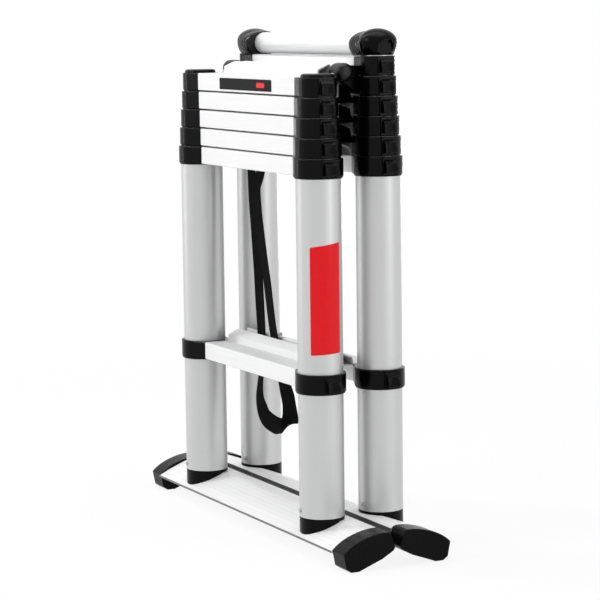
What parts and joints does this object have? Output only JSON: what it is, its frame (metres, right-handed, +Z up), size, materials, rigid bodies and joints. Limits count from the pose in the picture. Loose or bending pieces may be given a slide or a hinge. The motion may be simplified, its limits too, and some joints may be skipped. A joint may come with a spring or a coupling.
{
  "type": "telescoping ladder",
  "caption": "Telescoping ladder whose hinged front and rear sections slide out tread by tread and open into a stepladder.",
  "frame": {"origin": "on the floor under the middle of the closed ladder", "axes": "+X along the treads, +Y towards the taller rear section, +Z up"},
  "size_m": [0.634, 0.1674, 0.7082],
  "materials": {
    "tube_metal": "satin anodised",
    "tread_metal": "satin anodised, fine grooves",
    "bar_metal": "satin anodised",
    "collar_plastic": "moulded, semi-matt",
    "foot_plastic": "moulded, semi-matt",
    "button_plastic": "moulded, semi-matt",
    "hinge_metal": "black coated steel",
    "pin_metal": "zinc-plated",
    "cover_plastic": "glossy",
    "strap_fabric": "woven webbing"
  },
  "bodies": {
    "rear_base": {"rear_base_bar": "bar_metal", "rear_foot_caps": "foot_plastic", "rear_tube_shoes": "collar_plastic", "rear_bottom_tubes": "tube_metal", "rear_mid_tread": "tread_metal", "rear_lower_collars": "collar_plastic", "rear_tread_1": "tread_metal", "carry_strap": "strap_fabric"},
    "rear_stage_2": {"rear_tubes_2": "tube_metal", "rear_collars_2": "collar_plastic", "rear_tread_2": "tread_metal"},
    "rear_stage_3": {"rear_tubes_3": "tube_metal", "rear_collars_3": "collar_plastic", "rear_tread_3": "tread_metal"},
    "rear_stage_4": {"rear_tubes_4": "tube_metal", "rear_collars_4": "collar_plastic", "rear_tread_4": "tread_metal"},
    "rear_stage_5": {"rear_tubes_5": "tube_metal", "rear_collars_5": "collar_plastic", "rear_tread_5": "tread_metal", "rear_hinge_arms": "hinge_metal", "hinge_pins": "pin_metal"},
    "rear_stage_6": {"rear_tubes_6": "tube_metal", "rear_collars_6": "collar_plastic", "rear_tread_6": "tread_metal"},
    "rear_top": {"rear_tubes_7": "tube_metal", "top_caps": "collar_plastic", "top_rung": "tread_metal"},
    "front_stage_5": {"front_tubes_5": "tube_metal", "front_collars_5": "collar_plastic", "front_tread_5": "tread_metal", "front_hinge_arms": "hinge_metal", "hinge_covers": "cover_plastic"},
    "front_stage_4": {"front_tubes_4": "tube_metal", "front_collars_4": "collar_plastic", "front_tread_4": "tread_metal"},
    "front_stage_3": {"front_tubes_3": "tube_metal", "front_collars_3": "collar_plastic", "front_tread_3": "tread_metal"},
    "front_stage_2": {"front_tubes_2": "tube_metal", "front_collars_2": "collar_plastic", "front_tread_2": "tread_metal"},
    "front_base": {"front_base_bar": "bar_metal", "front_foot_caps": "foot_plastic", "front_tube_shoes": "collar_plastic", "front_bottom_tubes": "tube_metal", "front_mid_tread": "tread_metal", "front_lower_collars": "collar_plastic", "front_tread_1": "tread_metal"},
    "rear_button_1": {"rear_buttons_1": "button_plastic"},
    "rear_button_2": {"rear_buttons_2": "button_plastic"},
    "rear_button_3": {"rear_buttons_3": "button_plastic"},
    "rear_button_4": {"rear_buttons_4": "button_plastic"},
    "rear_button_5": {"rear_buttons_5": "button_plastic"},
    "rear_button_6": {"rear_buttons_6": "button_plastic"},
    "front_button_1": {"front_buttons_1": "button_plastic"},
    "front_button_2": {"front_buttons_2": "button_plastic"},
    "front_button_3": {"front_buttons_3": "button_plastic"},
    "front_button_4": {"front_buttons_4": "button_plastic"}
  },
  "joints": [
    {"name": "rear_extend_1", "type": "slide", "parent": "rear_base", "child": "rear_stage_2", "axis": [0, 0, 1], "range_m": [0, 0.2631]},
    {"name": "rear_extend_2", "type": "slide", "parent": "rear_stage_2", "child": "rear_stage_3", "axis": [0, 0, 1], "range_m": [0, 0.2631]},
    {"name": "rear_extend_3", "type": "slide", "parent": "rear_stage_3", "child": "rear_stage_4", "axis": [0, 0, 1], "range_m": [0, 0.2631]},
    {"name": "rear_extend_4", "type": "slide", "parent": "rear_stage_4", "child": "rear_stage_5", "axis": [0, 0, 1], "range_m": [0, 0.2631]},
    {"name": "rear_extend_5", "type": "slide", "parent": "rear_stage_5", "child": "rear_stage_6", "axis": [0, 0, 1], "range_m": [0, 0.2631]},
    {"name": "rear_extend_6", "type": "slide", "parent": "rear_stage_6", "child": "rear_top", "axis": [0, 0, 1], "range_m": [0, 0.2631]},
    {"name": "section_hinge", "type": "hinge", "parent": "rear_stage_5", "child": "front_stage_5", "pos_m": [0, 0, 0.65], "axis": [-1, 0, 0], "range_deg": [0, 39]},
    {"name": "front_extend_4", "type": "slide", "parent": "front_stage_5", "child": "front_stage_4", "axis": [0, 0, -1], "range_m": [0, 0.2631]},
    {"name": "front_extend_3", "type": "slide", "parent": "front_stage_4", "child": "front_stage_3", "axis": [0, 0, -1], "range_m": [0, 0.2631]},
    {"name": "front_extend_2", "type": "slide", "parent": "front_stage_3", "child": "front_stage_2", "axis": [0, 0, -1], "range_m": [0, 0.2631]},
    {"name": "front_extend_1", "type": "slide", "parent": "front_stage_2", "child": "front_base", "axis": [0, 0, -1], "range_m": [0, 0.2631]},
    {"name": "rear_release_1", "type": "slide", "parent": "rear_base", "child": "rear_button_1", "axis": [0, 0, -1], "range_m": [0, 0.003], "stiffness_N_per_m": 900, "springref_m": -0.002},
    {"name": "rear_release_2", "type": "slide", "parent": "rear_stage_2", "child": "rear_button_2", "axis": [0, 0, -1], "range_m": [0, 0.003], "stiffness_N_per_m": 900, "springref_m": -0.002},
    {"name": "rear_release_3", "type": "slide", "parent": "rear_stage_3", "child": "rear_button_3", "axis": [0, 0, -1], "range_m": [0, 0.003], "stiffness_N_per_m": 900, "springref_m": -0.002},
    {"name": "rear_release_4", "type": "slide", "parent": "rear_stage_4", "child": "rear_button_4", "axis": [0, 0, -1], "range_m": [0, 0.003], "stiffness_N_per_m": 900, "springref_m": -0.002},
    {"name": "rear_release_5", "type": "slide", "parent": "rear_stage_5", "child": "rear_button_5", "axis": [0, 0, -1], "range_m": [0, 0.003], "stiffness_N_per_m": 900, "springref_m": -0.002},
    {"name": "rear_release_6", "type": "slide", "parent": "rear_stage_6", "child": "rear_button_6", "axis": [0, 0, -1], "range_m": [0, 0.003], "stiffness_N_per_m": 900, "springref_m": -0.002},
    {"name": "front_release_1", "type": "slide", "parent": "front_base", "child": "front_button_1", "axis": [0, 0, -1], "range_m": [0, 0.003], "stiffness_N_per_m": 900, "springref_m": -0.002},
    {"name": "front_release_2", "type": "slide", "parent": "front_stage_2", "child": "front_button_2", "axis": [0, 0, -1], "range_m": [0, 0.003], "stiffness_N_per_m": 900, "springref_m": -0.002},
    {"name": "front_release_3", "type": "slide", "parent": "front_stage_3", "child": "front_button_3", "axis": [0, 0, -1], "range_m": [0, 0.003], "stiffness_N_per_m": 900, "springref_m": -0.002},
    {"name": "front_release_4", "type": "slide", "parent": "front_stage_4", "child": "front_button_4", "axis": [0, 0, -1], "range_m": [0, 0.003], "stiffness_N_per_m": 900, "springref_m": -0.002}
  ]
}
